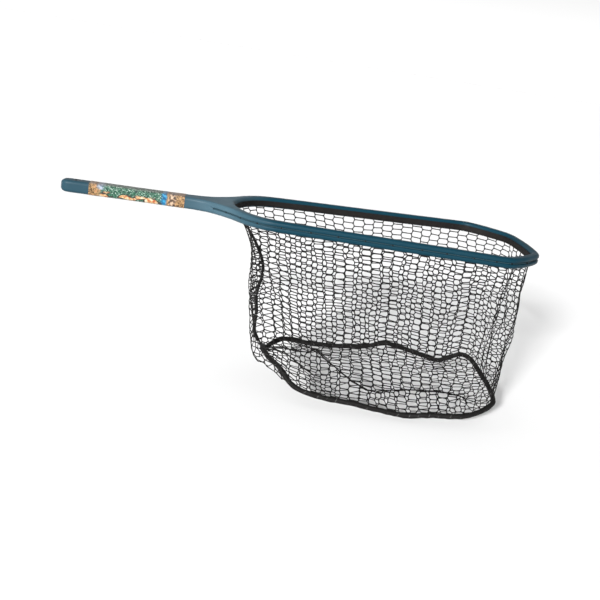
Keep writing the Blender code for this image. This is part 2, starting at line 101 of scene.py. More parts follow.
# The lacing: where its holes are along each side of the hoop.
FIRST_HOLE_X = 228
HOLES_X = [249, 272, 301, 340, 385, 431, 473, 518, 563, 606, 648, 684, 709, 744]
TIP_HOLE_Y = 27


# ---- curves and loops

def mirrored(half):
    """Closed loop, anticlockwise from above, from a half outline that ends on the X axis."""
    near = [(x, -y) for x, y in half]
    far = [(x, -y) for x, y in near[-2:0:-1]]
    return np.array(near + far, float)


STEPS_PER_SPAN = 16


def between(a, b, ta, tb, t):
    """Value at t on the line that is a at ta and b at tb."""
    return (tb - t) / (tb - ta) * a + (t - ta) / (tb - ta) * b


def smooth_loop(points, count, closed=True):
    """So many evenly spaced points on the centripetal Catmull-Rom curve through the points."""
    points = np.asarray(points, float)
    if closed:
        ring = np.vstack([points[-1], points, points[0], points[1]])
    else:
        first = 2 * points[0] - points[1]
        last = 2 * points[-1] - points[-2]
        ring = np.vstack([first, points, last])
    dense = []
    for a, b, c, d in zip(ring, ring[1:], ring[2:], ring[3:]):
        ta = 0.0
        tb = ta + np.linalg.norm(b - a) ** 0.5
        tc = tb + np.linalg.norm(c - b) ** 0.5
        td = tc + np.linalg.norm(d - c) ** 0.5
        for t in np.linspace(tb, tc, STEPS_PER_SPAN + 1)[:-1]:
            ab = between(a, b, ta, tb, t)
            bc = between(b, c, tb, tc, t)
            cd = between(c, d, tc, td, t)
            abc = between(ab, bc, ta, tc, t)
            bcd = between(bc, cd, tb, td, t)
            dense.append(between(abc, bcd, tb, tc, t))
    dense.append(dense[0] if closed else points[-1])
    dense = np.array(dense)
    lengths = np.concatenate([[0], np.cumsum(np.linalg.norm(np.diff(dense, axis=0), axis=1))])
    targets = np.linspace(0, lengths[-1], count, endpoint=not closed)
    return np.stack([np.interp(targets, lengths, axis) for axis in dense.T], axis=1)


def loop_normals(loop):
    """Outward unit normals of an anticlockwise flat loop."""
    along = np.roll(loop, -1, axis=0)[:, :2] - np.roll(loop, 1, axis=0)[:, :2]
    along /= np.linalg.norm(along, axis=1)[:, None]
    return np.stack([along[:, 1], -along[:, 0]], axis=1)


def offset_loop(loop, distance):
    return loop + loop_normals(loop) * distance


def smooth_noise(x, y, z):
    """Smooth noise from about -1 to 1."""
    return noise.noise(Vector((x, y, z)))


def smoothstep(x, low, high):
    t = np.clip((x - low) / (high - low), 0, 1)
    return t * t * (3 - 2 * t)


def half_height(x):
    share = np.clip((x - TAPER_START_X) / (TAPER_END_X - TAPER_START_X), 0, 1)
    return HANDLE_HALF_HEIGHT + (HOOP_HALF_HEIGHT - HANDLE_HALF_HEIGHT) * share


OUTER = smooth_loop(mirrored(OUTER_HALF), 520)
INNER = smooth_loop(mirrored(INNER_HALF), 320)


# ---- mesh helpers

def new_object(name, mesh, smooth=True):
    obj = bpy.data.objects.new(name, mesh)
    bpy.context.scene.collection.objects.link(obj)
    if smooth:
        mesh.shade_smooth()
    return obj


def object_from(name, bm, smooth=True):
    """Object with the mesh built in bm, which is freed."""
    mesh = bpy.data.meshes.new(name)
    bm.to_mesh(mesh)
    bm.free()
    return new_object(name, mesh, smooth)


def solid(name, points_mm, faces):
    """Object from points in millimetres and faces as lists of point numbers, faced outwards."""
    mesh = bpy.data.meshes.new(name)
    mesh.from_pydata([Vector(p) * MM for p in points_mm], [], faces)
    bm = bmesh.new()
    bm.from_mesh(mesh)
    bmesh.ops.recalc_face_normals(bm, faces=bm.faces)
    bm.to_mesh(mesh)
    bm.free()
    return new_object(name, mesh)


def grid_faces(rows, columns, close_rows=False):
    """Faces of a grid of points stored row by row, each row a closed ring."""
    faces = []
    for r in range(rows if close_rows else rows - 1):
        for c in range(columns):
            down = (r + 1) % rows
            right = (c + 1) % columns
            faces.append((r * columns + c, down * columns + c,
                          down * columns + right, r * columns + right))
    return faces


def lofted(name, rows):
    """Object from closed rings of points, the last ring joined to the first."""
    points = [p for row in rows for p in row]
    return solid(name, points, grid_faces(len(rows), len(rows[0]), close_rows=True))


def sharpen(obj, degrees):
    """Edges that turn by more than so many degrees are shaded sharp."""
    obj.data.set_sharp_from_angle(angle=math.radians(degrees))


def tube(name, line, radius, sides, closed=False, wobble=0.0):
    """Tube along a line in millimetres, its size gently uneven by the share wobble.

    The radius is one number, or one for each point of the line.
    """
    count = len(line)
    radii = np.broadcast_to(radius, count)
    points = []
    for i, place in enumerate(line):
        if closed:
            along = Vector(line[(i + 1) % count] - line[i - 1])
        else:
            along = Vector(line[min(i + 1, count - 1)] - line[max(i - 1, 0)])
        turn = along.to_track_quat("Z", "Y").to_matrix()
        for s in range(sides):
            angle = 2 * math.pi * s / sides
            spoke = turn @ Vector((math.cos(angle), math.sin(angle), 0))
            swell = noise.noise(Vector(place) * 0.09 + spoke * 0.7)
            points.append(Vector(place) + spoke * float(radii[i]) * (1 + wobble * swell))
    faces = grid_faces(count, sides, close_rows=closed)
    if not closed:
        faces.append(tuple(range(sides)))
        faces.append(tuple((count - 1) * sides + s for s in range(sides))[::-1])
    return solid(name, points, faces)


# ---- materials

def set_stops(ramp, stops):
    """Fill a ramp node with stops, each a position and a level or colour."""
    elements = ramp.color_ramp.elements
    while len(elements) < len(stops):
        elements.new(1.0)
    for element, (position, color) in zip(elements, stops):
        element.position = position
        if isinstance(color, (int, float)):
            color = (color, color, color)
        element.color = (*color, 1)


class Shader:
    """Short way to build a node material round one Principled BSDF."""

    def __init__(self, name):
        self.mat = bpy.data.materials.new(name)
        self.mat.use_nodes = True
        self.nodes = self.mat.node_tree.nodes
        self.links = self.mat.node_tree.links
        self.bsdf = self.nodes["Principled BSDF"]
        place = self.nodes.new("ShaderNodeTexCoord")
        self.place = place.outputs["Object"]

    def set(self, **values):
        for name, value in values.items():
            self.bsdf.inputs[name.replace("_", " ")].default_value = value
        return self

    def link(self, a, b):
        self.links.new(a, b)

    def scaled(self, scale):
        node = self.nodes.new("ShaderNodeMapping")
        node.inputs["Scale"].default_value = scale
        self.link(self.place, node.inputs["Vector"])
        return node.outputs["Vector"]

    def texture(self, kind, vector, **inputs):
        node = self.nodes.new("ShaderNodeTex" + kind)
        for name, value in inputs.items():
            node.inputs[name].default_value = value
        self.link(vector or self.place, node.inputs["Vector"])
        return node

    def noise(self, scale, detail=3.0, vector=None, distortion=0.0):
        node = self.texture("Noise", vector, Scale=scale, Detail=detail, Distortion=distortion)
        return node.outputs["Fac"]

    def voronoi(self, scale, feature="F1"):
        node = self.texture("Voronoi", None, Scale=scale)
        node.feature = feature
        return node.outputs["Distance"]

    def wave(self, scale, vector=None):
        node = self.texture("Wave", vector, Scale=scale, Distortion=1.0)
        node.bands_direction = "DIAGONAL"
        return node.outputs["Fac"]

    def axis(self, name):
        node = self.nodes.new("ShaderNodeSeparateXYZ")
        self.link(self.place, node.inputs["Vector"])
        return node.outputs[name]

    def feed(self, socket, value):
        """Set a number or a colour, or link another node's output."""
        if isinstance(value, (int, float)):
            socket.default_value = value
        elif isinstance(value, tuple):
            socket.default_value = (*value, 1)
        else:
            self.link(value, socket)

    def math(self, operation, *values):
        node = self.nodes.new("ShaderNodeMath")
        node.operation = operation
        for socket, value in zip(node.inputs, values):
            self.feed(socket, value)
        return node.outputs["Value"]

    def times(self, a, b):
        return self.math("MULTIPLY", a, b)

    def ramp(self, factor, stops):
        node = self.nodes.new("ShaderNodeValToRGB")
        set_stops(node, stops)
        self.link(factor, node.inputs["Fac"])
        return node.outputs["Color"]

    def tones(self, stops, *grain, **more):
        """Colours or values read from noise of the given grain."""
        return self.ramp(self.noise(*grain, **more), stops)

    def window(self, socket, a, b, c, d):
        """One between b and c, and nothing before a and after d."""
        return self.ramp(socket, [(a, 0.0), (b, 1.0), (c, 1.0), (d, 0.0)])

    def mix(self, factor, a, b):
        node = self.nodes.new("ShaderNodeMix")
        node.data_type = "RGBA"
        for name, value in (("Factor", factor), ("A", a), ("B", b)):
            self.feed(node.inputs[name], value)
        return node.outputs["Result"]

    def color(self, socket):
        self.link(socket, self.bsdf.inputs["Base Color"])

    def roughness(self, socket):
        self.link(socket, self.bsdf.inputs["Roughness"])

    def bump(self, socket, strength, distance):
        node = self.nodes.new("ShaderNodeBump")
        node.inputs["Strength"].default_value = strength
        node.inputs["Distance"].default_value = distance
        self.link(socket, node.inputs["Height"])
        previous = self.bsdf.inputs["Normal"]
        if previous.links:
            self.link(previous.links[0].from_socket, node.inputs["Normal"])
        self.link(node.outputs["Normal"], previous)


def shade(tone, share):
    return tuple(c * share for c in tone)


def painted_moulding():
    """Lacquer that goes from steel blue on the handle to deep teal on the hoop; the lighter handle
    and neck are partly this two-tone paint and partly painted highlight from the light on the
    left.
    """
    s = Shader("painted_moulding")
    # Painted highlight over a real two-tone fade: the lightest stops, round the neck, stand in for
    # the left-hand light on the shoulders.
    along = s.ramp(
        s.math("MULTIPLY_ADD", s.axis("X"), 1.0, 0.03),
        [(0.0, (0.013, 0.042, 0.060)), (0.2, (0.035, 0.070, 0.092)), (0.28, (0.046, 0.090, 0.116)),
         (0.36, (0.0010, 0.026, 0.042)), (0.8, (0.0006, 0.022, 0.036))],
    )
    cloud = s.noise(9, 4)
    mottled = s.mix(s.ramp(cloud, [(0.35, 0.0), (0.7, 0.25)]), along, (0.001, 0.027, 0.044))
    fleck = s.tones([(0.62, 0.0), (0.72, 0.18)], 900, 2)
    s.color(s.mix(fleck, mottled, (0.012, 0.05, 0.07)))
    s.roughness(s.tones([(0.3, 0.42), (0.7, 0.52)], 40, 4))
    s.bump(s.noise(700, 2), 0.06, 0.0004)
    s.bump(s.noise(60, 3), 0.08, 0.0006)
    return s.set(Specular_IOR_Level=0.14).mat


def printed_film():
    """Generic riverbed mottle: tan ends, green between, with cream, dark and blue patches."""
    s = Shader("printed_film")
    along = s.math("MULTIPLY_ADD", s.noise(90, 2), 0.010, s.axis("X"))
    height = s.axis("Z")
    tan = s.tones(
        [(0.30, (0.02, 0.012, 0.008)), (0.40, (0.06, 0.032, 0.014)), (0.48, (0.19, 0.11, 0.045)),
         (0.58, (0.34, 0.21, 0.10)), (0.70, (0.32, 0.12, 0.05))],
        300, 5, distortion=1.2,
    )
    green = s.tones(
        [(0.34, (0.008, 0.020, 0.018)), (0.43, (0.008, 0.045, 0.028)),
         (0.51, (0.014, 0.095, 0.045)), (0.57, (0.04, 0.14, 0.09)), (0.63, (0.42, 0.50, 0.44))],
        420, 4, distortion=1.5,
    )
    pebbles = s.ramp(s.voronoi(330, "DISTANCE_TO_EDGE"), [(0.0, 1.0), (0.10, 0.0)])
    green = s.mix(pebbles, green, (0.008, 0.026, 0.022))
    ends = s.ramp(along, [(0.0, 1.0), (0.042, 1.0), (0.046, 0.0), (0.153, 0.0), (0.156, 1.0)])
    middle = s.math("SUBTRACT", 1.0, ends)
    base = s.mix(ends, green, tan)
    # Pale blobs with dark rims along the lower half of the sides.
    low = s.ramp(s.math("MULTIPLY_ADD", height, -60.0, 0.45), [(0.38, 0.0), (0.60, 1.0)])
    lumps = s.noise(75, 2, s.scaled((0.7, 1.0, 1.3)))
    low = s.times(low, middle)
    rims = s.times(low, s.ramp(lumps, [(0.46, 0.0), (0.49, 1.0)]))
    blobs = s.times(low, s.ramp(lumps, [(0.54, 0.0), (0.57, 1.0)]))
    cream = s.tones(
        [(0.36, (0.26, 0.05, 0.02)), (0.45, (0.34, 0.15, 0.06)), (0.53, (0.45, 0.30, 0.15)),
         (0.64, (0.50, 0.43, 0.32))],
        160, 3,
    )
    base = s.mix(rims, base, (0.030, 0.028, 0.022))
    base = s.mix(blobs, base, cream)
    # A pale patch after the first tan end, a blue band, and cream with dark spots after it.
    pale = s.window(along, 0.040, 0.043, 0.049, 0.052)
    high = s.ramp(s.math("MULTIPLY_ADD", height, 60.0, 0.45), [(0.52, 0.0), (0.66, 1.0)])
    pale = s.times(s.times(pale, high), 0.8)
    pale_tone = s.tones([(0.4, (0.09, 0.12, 0.17)), (0.6, (0.30, 0.34, 0.42))], 260, 3)
    base = s.mix(pale, base, pale_tone)
    sky = s.window(along, 0.1455, 0.1475, 0.1540, 0.1555)
    sky_tone = s.tones([(0.4, (0.003, 0.06, 0.15)), (0.6, (0.015, 0.20, 0.36))], 220, 3)
    base = s.mix(s.times(sky, 0.95), base, sky_tone)
    spotted = s.window(along, 0.1575, 0.1585, 0.168, 0.172)
    spots = s.tones(
        [(0.42, (0.015, 0.015, 0.015)), (0.50, (0.15, 0.09, 0.06)), (0.58, (0.42, 0.31, 0.22))],
        240, 3,
    )
    base = s.mix(s.times(spotted, 0.85), base, spots)
    # The top and bottom faces are greyer, with fine pale flecks.
    face = s.ramp(s.math("ABSOLUTE", height), [(0.0092, 0.0), (0.0100, 1.0)])
    grey = s.tones(
        [(0.40, (0.075, 0.065, 0.068)), (0.55, (0.15, 0.13, 0.13)), (0.66, (0.36, 0.34, 0.34))],
        420, 4,
    )
    base = s.mix(s.times(face, 0.75), base, grey)
    s.color(base)
    s.roughness(s.tones([(0.3, 0.40), (0.7, 0.52)], 300, 3))
    s.bump(s.noise(900, 2), 0.05, 0.0003)
    return s.set(Specular_IOR_Level=0.25).mat


def rubber(name, tone, roughness):
    """Matt moulded rubber with a dusty, slightly uneven skin."""
    s = Shader(name)
    s.color(s.tones([(0.3, shade(tone, 0.7)), (0.55, tone), (0.75, shade(tone, 1.8))], 120, 5))
    s.roughness(s.tones([(0.3, roughness - 0.08), (0.7, roughness + 0.12)], 260, 4))
    s.bump(s.noise(1400, 3), 0.15, 0.0002)
    s.bump(s.noise(260, 3), 0.2, 0.0004)
    return s.set(Specular_IOR_Level=0.2).mat


def braided_cord(name, tone):
    """Fine braid: two crossed waves along the cord, with painted shade in its grooves and painted
    highlight on its crests.
    """
    s = Shader(name)
    weave = s.times(s.wave(420, s.scaled((1.0, 1.0, 1.6))),
                    s.wave(420, s.scaled((1.0, -1.0, -1.6))))
    # Painted shade and highlight: the colour follows the bump, dark in the braid's grooves and
    # light on its crests.
    s.color(s.ramp(weave, [(0.0, shade(tone, 0.45)), (0.6, tone), (1.0, shade(tone, 1.5))]))
    s.bump(weave, 0.5, 0.0004)
    s.roughness(s.tones([(0.3, 0.7), (0.7, 0.9)], 500, 2))
    return s.mat


def thread():
    s = Shader("seam_thread")
    s.color(s.tones([(0.3, (0.045, 0.045, 0.045)), (0.7, (0.13, 0.13, 0.125))], 800, 2))
    s.bump(s.wave(1500), 0.4, 0.0002)
    return s.set(Roughness=0.7).mat


def foam():
    s = Shader("foam_core")
    cells = s.voronoi(900)
    # Painted shade: each cell is darker towards its middle, where the bump sinks it into a pit.
    s.color(s.ramp(cells, [(0.0, (0.50, 0.42, 0.26)), (0.5, (0.80, 0.72, 0.54))]))
    s.bump(cells, 0.5, 0.0004)
    return s.set(Roughness=0.9).mat


def plain_plastic():
    s = Shader("sleeve_plastic")
    s.color(s.tones([(0.3, (0.022, 0.03, 0.036)), (0.7, (0.04, 0.052, 0.06))], 90, 3))
    s.roughness(s.tones([(0.3, 0.4), (0.7, 0.55)], 300, 3))
    s.bump(s.noise(600, 2), 0.1, 0.0002)
    return s.mat


def paper_floor():
    s = Shader("studio_floor")
    s.color(s.tones([(0.3, (0.825, 0.825, 0.825)), (0.7, (0.835, 0.835, 0.835))], 3, 2))
    return s.set(Roughness=0.9).mat


def dress(obj, mat):
    obj.data.materials.clear()
    obj.data.materials.append(mat)


# ---- frame moulding

# Outer side of the moulding from the middle up to its top edge, as (inset, height) rows: a
# shallow groove along the sides and a deeper one between two round lips round the tip.
SIDE_GROOVE = [(1.7, 0.0), (1.7, 0.5), (1.55, 0.9), (1.2, 1.15), (0.6, 1.3), (0.25, 1.55),
               (0.07, 2.1), (0.0, 3.2)]
TIP_GROOVE = [(3.2, 0.0), (3.2, 0.9), (3.0, 1.5), (2.4, 1.8), (1.2, 2.0), (0.5, 2.3),
              (0.15, 2.9), (0.0, 3.5)]
GROOVE_WIDENS = (690, 765)
GROOVE_STARTS = (222, 226)


def groove_width(x):
    """Share of the way from the side groove to the tip groove at x."""
    return smoothstep(x, *GROOVE_WIDENS)


# The rounded top edge starts at this height and reaches so far inwards.
EDGE_REACH = 5.2
EDGE_START = 4.3
BUTT_CROWN_START = -15
BUTT_CROWN_LENGTH = 11
BUTT_CROWN_DROP = 0.16
INNER_EDGE_STRAIGHT = 2.2


def edge_rows(steps=8):
    """The rounded top edge, as (inset, height) rows."""
    rows = []
    for k in range(steps + 1):
        turn = math.pi / 2 * k / steps
        rows.append((EDGE_REACH * (1 - math.cos(turn)),
                     EDGE_START + (HOOP_HALF_HEIGHT - EDGE_START) * math.sin(turn)))
    return rows


def moulding_height(x, z):
    """Height of a hoop-section point at x: the handle is deeper, and the butt end is crowned."""
    past = np.clip((BUTT_CROWN_START - x) / BUTT_CROWN_LENGTH, 0, 1)
    crown = 1 - BUTT_CROWN_DROP * past ** 2
    return z * half_height(x) / HOOP_HALF_HEIGHT * crown


def moulding_half(name, sign):
    """The upper (sign 1) or lower (sign -1) half, closed at the middle plane."""
    grooved = smoothstep(OUTER[:, 0], *GROOVE_STARTS)
    wide = groove_width(OUTER[:, 0])
    outer_profile = []
    for side, tip in zip(SIDE_GROOVE, TIP_GROOVE):
        inset = grooved * (side[0] + (tip[0] - side[0]) * wide)
        outer_profile.append((-inset[:, None], side[1] + (tip[1] - side[1]) * wide))
    outer_profile += [(-inset, height) for inset, height in edge_rows()]
    inner_profile = [(0.0, 0.0), (0.0, INNER_EDGE_STRAIGHT)] + edge_rows()
    bm = bmesh.new()

    def add_rows(loop, profile):
        """Rings of points, each the loop moved by a row's distance, at that row's height."""
        made = []
        for distance, height in profile:
            flat = offset_loop(loop, distance)
            row = np.column_stack([flat, moulding_height(flat[:, 0], height) * sign])
            made.append([bm.verts.new(Vector(p) * MM) for p in row])
        for a, b in zip(made, made[1:]):
            for i in range(len(a)):
                j = (i + 1) % len(a)
                bm.faces.new((a[i], a[j], b[j], b[i]))
        return made

    outer_rows = add_rows(OUTER, outer_profile)
    inner_rows = add_rows(INNER, inner_profile)
    for a, b in ((outer_rows[-1], inner_rows[-1]), (outer_rows[0], inner_rows[0])):
        edges = []
        for ring in (a, b):
            for i in range(len(ring)):
                pair = (ring[i], ring[(i + 1) % len(ring)])
                edges.append(bm.edges.get(pair) or bm.edges.new(pair))
        bmesh.ops.triangle_fill(bm, use_beauty=True, use_dissolve=False, edges=edges)
    bmesh.ops.recalc_face_normals(bm, faces=bm.faces)
    return object_from(name, bm)


# The lacing holes' cutters, and the lanyard hole's.
TIP_FACE_X = 770
HOLE_RADIUS = 1.55
HOLE_SIDES = 16
HOLE_OVERSHOOT_IN = 3
HOLE_OVERSHOOT_OUT = 4
FIRST_HOLE_RADIUS = 1.6
FIRST_HOLE_OVERSHOOT = 2
FIRST_HOLE_CUT = 9
LANYARD_RADIUS = 6.15
LANYARD_SIDES = 64
LANYARD_CUT = 40


def nearest_on(loop, point):
    return loop[np.argmin(np.linalg.norm(loop - point, axis=1))]


def side_point(loop, x, side):
    """Point of a loop at x on the side that side's sign names."""
    mine = loop[loop[:, 1] * side > 0]
    return mine[np.argmin(np.abs(mine[:, 0] - x))]


def lacing_lines():
    """(outer point, inner point) of each lacing hole."""
    outside = []
    tip = OUTER[OUTER[:, 0] > TIP_FACE_X]
    for side in (-1, 1):
        outside += [side_point(OUTER, x, side) for x in HOLES_X]
        outside.append(tip[np.argmin(np.abs(tip[:, 1] - side * TIP_HOLE_Y))])
    return [(point, nearest_on(INNER, point)) for point in outside]


CYLINDER_TURN = 0.13


def cylinder(bm, start, end, radius, segments):
    """Cylinder in the middle plane, turned a little so that no side lies in that plane."""
    start, end = Vector((*start, 0)) * MM, Vector((*end, 0)) * MM
    axis = end - start
    turn = axis.to_track_quat("Z", "Y").to_matrix().to_4x4()
    place = Matrix.Translation((start + end) / 2) @ turn @ Matrix.Rotation(CYLINDER_TURN, 4, "Z")
    bmesh.ops.create_cone(bm, cap_ends=True, segments=segments, radius1=radius * MM,
                          radius2=radius * MM, depth=axis.length, matrix=place)


def pegs(bm, lines, inner_reach, outer_reach, radius, sides):
    """A cylinder along each hole, which passes its inner and outer points by these reaches."""
    for outside, inside in lines:
        along = (outside - inside) / np.linalg.norm(outside - inside)
        cylinder(bm, inside - along * inner_reach, outside + along * outer_reach, radius, sides)


def hole_cutter(lines):
    bm = bmesh.new()
    pegs(bm, lines, HOLE_OVERSHOOT_IN, HOLE_OVERSHOOT_OUT, HOLE_RADIUS, HOLE_SIDES)
    for side in (-1, 1):
        mouth = side_point(OUTER, FIRST_HOLE_X, side)
        cylinder(bm, mouth + (0, side * FIRST_HOLE_OVERSHOOT), mouth - (0, side * FIRST_HOLE_CUT),
                 FIRST_HOLE_RADIUS, HOLE_SIDES)
    return object_from("hole_cutter", bm)


def lanyard_cutter():
    bm = bmesh.new()
    bmesh.ops.create_cone(bm, cap_ends=True, segments=LANYARD_SIDES,
                          radius1=LANYARD_RADIUS * MM, radius2=LANYARD_RADIUS * MM,
                          depth=LANYARD_CUT * MM)
    return object_from("lanyard_cutter", bm)


def cut(obj, cutter):
    """Take the cutter's shape out of the object's mesh."""
    change = obj.modifiers.new("cut", "BOOLEAN")
    change.operation = "DIFFERENCE"
    change.solver = "EXACT"
    change.object = cutter
    bpy.context.view_layer.update()
    evaluated = obj.evaluated_get(bpy.context.evaluated_depsgraph_get())
    mesh = bpy.data.meshes.new_from_object(evaluated)
    obj.modifiers.clear()
    obj.data = mesh


def make_moulding(lines, paint):
    cutters = [hole_cutter(lines), lanyard_cutter()]
    for name, sign, node in (("moulding_upper", 1, "upper_frame_shell"),
                             ("moulding_lower", -1, "lower_frame_shell")):
        shell = moulding_half(name, sign)
        for cutter in cutters:
            cut(shell, cutter)
        shell.data.shade_smooth()
        sharpen(shell, 50)
        even = shell.modifiers.new("even_normals", "WEIGHTED_NORMAL")
        even.keep_sharp = True
        even.weight = 80
        dress(shell, paint)
        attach(shell, "frame")
        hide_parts(node)
    for cutter in cutters:
        bpy.data.objects.remove(cutter, do_unlink=True)


# The film's inner and outer skins stand this far off the moulding.
FILM_LIFTS = (0.05, 0.45)
FILM_STATIONS = 40
FILM_CORNER_STEPS = 8
QUARTER_SIGNS = [(1, 1), (-1, 1), (-1, -1), (1, -1)]
HANDLE_SIDE_END_X = 300


def handle_side():
    """The handle's half width against x, read from its far side."""
    side = OUTER[(OUTER[:, 1] > 0) & (OUTER[:, 0] < HANDLE_SIDE_END_X)]
    order = np.argsort(side[:, 0])
    return side[order, 0], side[order, 1]


def make_film(mat):
    """The printed film as one thin closed sleeve round the grip."""
    low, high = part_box("grip_film")
    start, end = low.x / MM, high.x / MM
    stretch = HANDLE_HALF_HEIGHT / HOOP_HALF_HEIGHT
    side = handle_side()
    skins = []
    for lift in FILM_LIFTS:
        rows = []
        for k in range(FILM_STATIONS + 1):
            x = start + (end - start) * k / FILM_STATIONS
            half_width = np.interp(x, *side)
            row = []
            for quarter, (sign_y, sign_z) in enumerate(QUARTER_SIGNS):
                for step in range(FILM_CORNER_STEPS + 1):
                    turn = math.pi / 2 * (quarter + step / FILM_CORNER_STEPS)
                    y = (sign_y * (half_width - EDGE_REACH)
                         + (EDGE_REACH + lift) * math.cos(turn))
                    z = (sign_z * EDGE_START * stretch
                         + ((HOOP_HALF_HEIGHT - EDGE_START) * stretch + lift) * math.sin(turn))
                    row.append((x, y, z))
            rows.append(row)
        skins.append(rows)
    inner, outer = skins
    film = lofted("grip_print", outer + inner[::-1])
    sharpen(film, 40)
    dress(film, mat)
    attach(film, "frame")
    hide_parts("grip_film")


# ---- lacing and rim band

CORD_INSET_SIDE = 1.1
CORD_INSET_TIP = 2.2
CORD_RADIUS = 0.85
CORD_SIDES = 10
# The cord leaves the first holes this far past them, and turns in by (depth, forward) steps.
CORD_LEAVES = 2.5
CORD_END_STEPS = ((5.5, 0), (3.6, 0), (2.4, 0.8))
# The pull tabs start inside the hoop's mouth and end just short of the groove's lips.
TAB_RADIUS = 1.3
TAB_SIDES = 12
TAB_START = 1.2
TAB_END = 0.1


def make_lacing(lines, cord_mat, rubber_mat):
    inset = CORD_INSET_SIDE + (CORD_INSET_TIP - CORD_INSET_SIDE) * groove_width(OUTER[:, 0])
    line = offset_loop(OUTER, -inset[:, None])
    groove = line[line[:, 0] > FIRST_HOLE_X + CORD_LEAVES]
    ends = []
    for side in (-1, 1):
        mouth = side_point(OUTER, FIRST_HOLE_X, side)
        ends.append(np.array([mouth - (0, side * depth) + (forward, 0)
                              for depth, forward in CORD_END_STEPS]))
    path = np.vstack([ends[0], groove, ends[1][::-1]])
    path = np.column_stack([path, np.zeros(len(path))])
    cord = tube("lacing_braid", path, CORD_RADIUS, CORD_SIDES)
    dress(cord, cord_mat)
    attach(cord, "frame")
    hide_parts("lacing_cord")
    bm = bmesh.new()
    pegs(bm, lines, TAB_START, -TAB_END, TAB_RADIUS, TAB_SIDES)
    tabs = object_from("pull_tabs", bm)
    sharpen(tabs, 40)
    dress(tabs, rubber_mat)
    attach(tabs, "frame")


# The band's section as (inset from the mouth, share of its height).
BAND_SECTION = [
    (0.15, 0.06), (0.15, 0.94), (0.35, 1.0), (1.2, 1.0), (1.7, 0.96), (1.85, 0.85),
    (1.75, 0.5), (1.85, 0.16), (1.7, 0.04), (1.2, 0.0), (0.35, 0.0),
]
BAND_SWAY = 0.9
BAND_SWAY_SCALE = 0.018
BAND_LIFT = 0.5
BAND_LIFT_SCALE = 0.03


def make_band(mat):
    """Moulded rim band: a rounded strip, slightly wavy at its edges."""
    low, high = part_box("rim_band")
    top, bottom = high.z / MM, low.z / MM
    rows = []
    for inset, share in BAND_SECTION:
        flat = offset_loop(INNER, -inset)
        ring = []
        for x, y in flat:
            sway = noise.noise(Vector((x, y, 0)) * BAND_SWAY_SCALE)
            lower = band_bottom(x) + bottom - BAND_BOTTOM + BAND_SWAY * sway
            upper = top + BAND_LIFT * noise.noise(Vector((x, y, 50)) * BAND_LIFT_SCALE)
            ring.append((x, y, lower + (upper - lower) * share))
        rows.append(ring)
    band = lofted("rim_strip", rows)
    sharpen(band, 50)
    dress(band, mat)
    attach(band, "frame")
    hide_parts("rim_band")


# ---- bag surface

# The rim band's lower edge, and how much higher it is at the throat than along the sides.
BAND_BOTTOM = -6.2
BAND_RISE = 2.0
BAND_RISE_X = (264, 420)
RING_POINTS = 720
WALL_INSET = 1.1
TOP_RING = smooth_loop(offset_loop(INNER, -WALL_INSET), RING_POINTS)
SEAM_RING = smooth_loop(SEAM_LINE, RING_POINTS)
# The floor reads every so many points of the seam.
SEAM_STRIDE = 4


def ring_value(ring, u):
    """Point of a closed ring at the share u round it."""
    place = (u % 1.0) * len(ring)
    low = np.floor(place).astype(int) % len(ring)
    high = (low + 1) % len(ring)
    share = (place - np.floor(place))[..., None]
    return ring[low] * (1 - share) + ring[high] * share


def band_bottom(x):
    """Height of the rim band's lower edge, which rises towards the throat."""
    return BAND_BOTTOM + BAND_RISE * (1 - smoothstep(x, *BAND_RISE_X))


def throat_weight(u):
    """One at the throat seam, falling to nothing on both sides of it."""
    distance = np.minimum(u % 1.0, 1 - u % 1.0) / THROAT_LEAN_SPREAD
    return (1 + np.cos(np.pi * np.minimum(distance, 1))) / 2


def wall_point(u, t):
    """The hanging wall before its small folds: u is the share round it and t down it."""
    upper = ring_value(TOP_RING, u)
    lower = ring_value(SEAM_RING, u)
    lean = np.interp(t, *np.array(THROAT_LEAN).T) - t
    share = t + lean * throat_weight(u)
    flat = upper * (1 - share)[..., None] + lower[..., :2] * share[..., None]
    top = band_bottom(upper[..., 0])
    z = top + (lower[..., 2] - top) * t
    return np.concatenate([flat, z[..., None]], axis=-1)


STEP_U = 0.002
STEP_T = 0.01


def wall_normals(u, t):
    """Outward unit normals of the hanging wall."""
    across = wall_point(u + STEP_U, t) - wall_point(u - STEP_U, t)
    down = wall_point(u, np.clip(t + STEP_T, 0, 1)) - wall_point(u, np.clip(t - STEP_T, 0, 1))
    normal = np.cross(down, across)
    return normal / np.linalg.norm(normal, axis=-1)[..., None]


# Outward bulge of the wall beside the throat seam against the share down the wall.
LOBE_CENTRE = 0.047
LOBE_WIDTH = 0.026
LOBE_HEIGHTS = [
    (0, 0), (0.18, 0), (0.34, 7), (0.48, 15), (0.62, 19), (0.77, 20), (0.9, 16), (0.96, 9),
    (1, 0),
]
# Near the throat the slack wall also hangs out past the floor's near corner.
CORNER_CENTRE = 0.066
CORNER_WIDTH = 0.048
CORNER_BULGE = [(0, 0), (0.5, 0), (0.7, 0.15), (0.84, 0.6), (0.95, 1), (0.985, 0.7), (1, 0)]
CORNER_PUSH = (-9.0, -4.0, -14.0)
# The seam line itself stays put over this share of the way round.
SEAM_HOLD = 0.02


